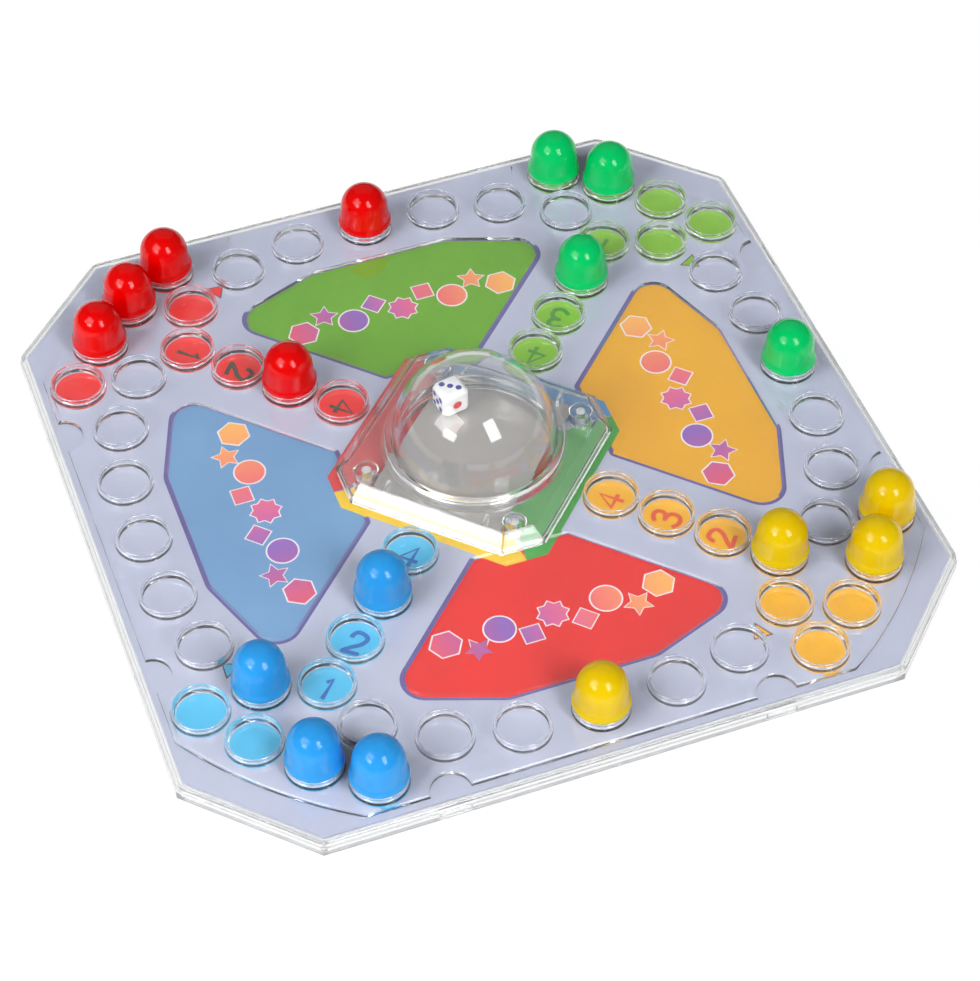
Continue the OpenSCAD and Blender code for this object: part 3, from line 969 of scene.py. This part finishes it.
MOTIFS = ["hexagon", "star", "disc", "diamond", "flower", "square", "disc", "star", "hexagon"]
for quarter, colour in enumerate(QUARTER_COLOUR):
    rims, fills = [], []
    for k, kind in enumerate(MOTIFS):
        along = (k - 4) * 9.1
        out = 75.5 + (3.0 if k % 2 else -2.4)
        size = 4.1 if k % 2 else 5.0
        for made, radius in ((rims, size + 0.55), (fills, size)):
            shape = [(x - out, y + along) for x, y in motif(kind, radius)]
            made.append(turned(shape, 90 * quarter))
    flat_print(f"motif_rims_{colour}", rims, CARD_TOP + 0.03, WHITE_INK)
    flat_print(f"motifs_{colour}", fills, CARD_TOP + 0.05, MOTIF_INK[1 - quarter % 2])


# ---------------------------------------------------------------- carried over pieces

def dress(node, material):
    piece = nodes[node]
    piece.data.materials.clear()
    piece.data.materials.append(material)


dress("bottom_tray", CLEAR_TRAY)
dress("game_card", GROUND)
dress("red_disc", RED_SHEET)


# ---------------------------------------------------------------- studio

def studio_square(name, size, move, finish):
    """A square of a half width in metres, in one material."""
    bm = bmesh.new()
    bmesh.ops.create_grid(bm, x_segments=1, y_segments=1, size=size)
    bmesh.ops.transform(bm, matrix=move, verts=bm.verts[:])
    mesh = bpy.data.meshes.new(name)
    bm.to_mesh(mesh)
    bm.free()
    mesh.materials.append(finish.material)
    square = bpy.data.objects.new(name, mesh)
    bpy.context.scene.collection.objects.link(square)
    return square


def build_floor():
    """White to the camera and through the plastic, a plain white surface in scattered light."""
    finish = Finish("floor_white", Base_Color=(0.9, 0.9, 0.9), Roughness=0.9)
    tree = finish.tree
    light = tree.nodes.new("ShaderNodeEmission")
    light.inputs["Strength"].default_value = 1.14
    path = tree.nodes.new("ShaderNodeLightPath")
    seen = 1 - finish.step(Term(finish, path.outputs["Diffuse Depth"]), 0.0, 1.0)
    mix = tree.nodes.new("ShaderNodeMixShader")
    tree.links.new((seen * 0.8).socket, mix.inputs[0])
    tree.links.new(finish.shader.outputs[0], mix.inputs[1])
    tree.links.new(light.outputs[0], mix.inputs[2])
    tree.links.new(mix.outputs[0], tree.nodes["Material Output"].inputs["Surface"])
    floor = studio_square("studio_floor", 6.0, Matrix.Identity(4), finish)


def softbox(name, azimuth, elevation, distance, width, height, brightness):
    """A lamp seen from the object at an azimuth and elevation; brightness 1 is a white wall."""
    data = bpy.data.lights.new(name, "AREA")
    data.shape = "RECTANGLE"
    data.size = width
    data.size_y = height
    data.energy = brightness * math.pi * width * height
    lamp = bpy.data.objects.new(name, data)
    bpy.context.scene.collection.objects.link(lamp)
    back = direction(azimuth, elevation)
    lamp.location = back * distance
    lamp.rotation_mode = "QUATERNION"
    lamp.rotation_quaternion = (-back).to_track_quat("-Z", "Y")
    lamp.visible_camera = False


def build_world():
    """White to the camera and through the plastic, grey in reflections, dim as a light."""
    world = bpy.data.worlds.new("studio")
    bpy.context.scene.world = world
    world.use_nodes = True
    tree = world.node_tree
    path = tree.nodes.new("ShaderNodeLightPath")

    def clamped(operation, first, second):
        made = tree.nodes.new("ShaderNodeMath")
        made.operation = operation
        made.use_clamp = True
        tree.links.new(path.outputs[first], made.inputs[0])
        if isinstance(second, str):
            tree.links.new(path.outputs[second], made.inputs[1])
        else:
            made.inputs[1].default_value = second
        return made.outputs[0]

    mirrored = clamped("SUBTRACT", "Is Glossy Ray", "Is Transmission Ray")
    scattered = clamped("MINIMUM", "Diffuse Depth", 1.0)
    last = None
    for share, colour in (
        (mirrored, (0.1, 0.1, 0.105, 1.0)), (scattered, (0.12, 0.12, 0.13, 1.0)),
    ):
        mix = tree.nodes.new("ShaderNodeMix")
        mix.data_type = "RGBA"
        mix.inputs[6].default_value = (1.0, 1.0, 1.0, 1.0)
        mix.inputs[7].default_value = colour
        if last:
            tree.links.new(last, mix.inputs[6])
        tree.links.new(share, mix.inputs[0])
        last = mix.outputs[2]
    tree.links.new(last, tree.nodes["Background"].inputs["Color"])


def build_screen():
    """A grey screen on the far side, where the flat faces mirror the room; no camera sees it."""
    back = direction(164, 44)
    turn = (-back).to_track_quat("Z", "Y").to_matrix().to_4x4()
    finish = Finish(
        "screen_grey", Base_Color=(0.0, 0.0, 0.0), Specular_IOR_Level=0.0, Roughness=1.0,
    )
    finish.set("Emission Color", (0.3, 0.3, 0.3))
    finish.set("Emission Strength", 1.0)
    screen = studio_square("studio_screen", 1.5, Matrix.Translation(back * 2.6) @ turn, finish)
    screen.visible_camera = False
    screen.visible_diffuse = False
    screen.visible_shadow = False


build_floor()
build_world()
build_screen()
softbox("left_softbox", -76, 46, 1.5, 0.9, 0.8, 3.6)
softbox("left_strip", -62, 33, 1.5, 0.5, 0.3, 7.0)
softbox("right_softbox", 15, 43, 2.2, 0.62, 1.15, 8.5)

cycles = bpy.context.scene.cycles
cycles.max_bounces = 24
cycles.transmission_bounces = 24
cycles.transparent_max_bounces = 24
bpy.context.scene.view_settings.view_transform = "Standard"
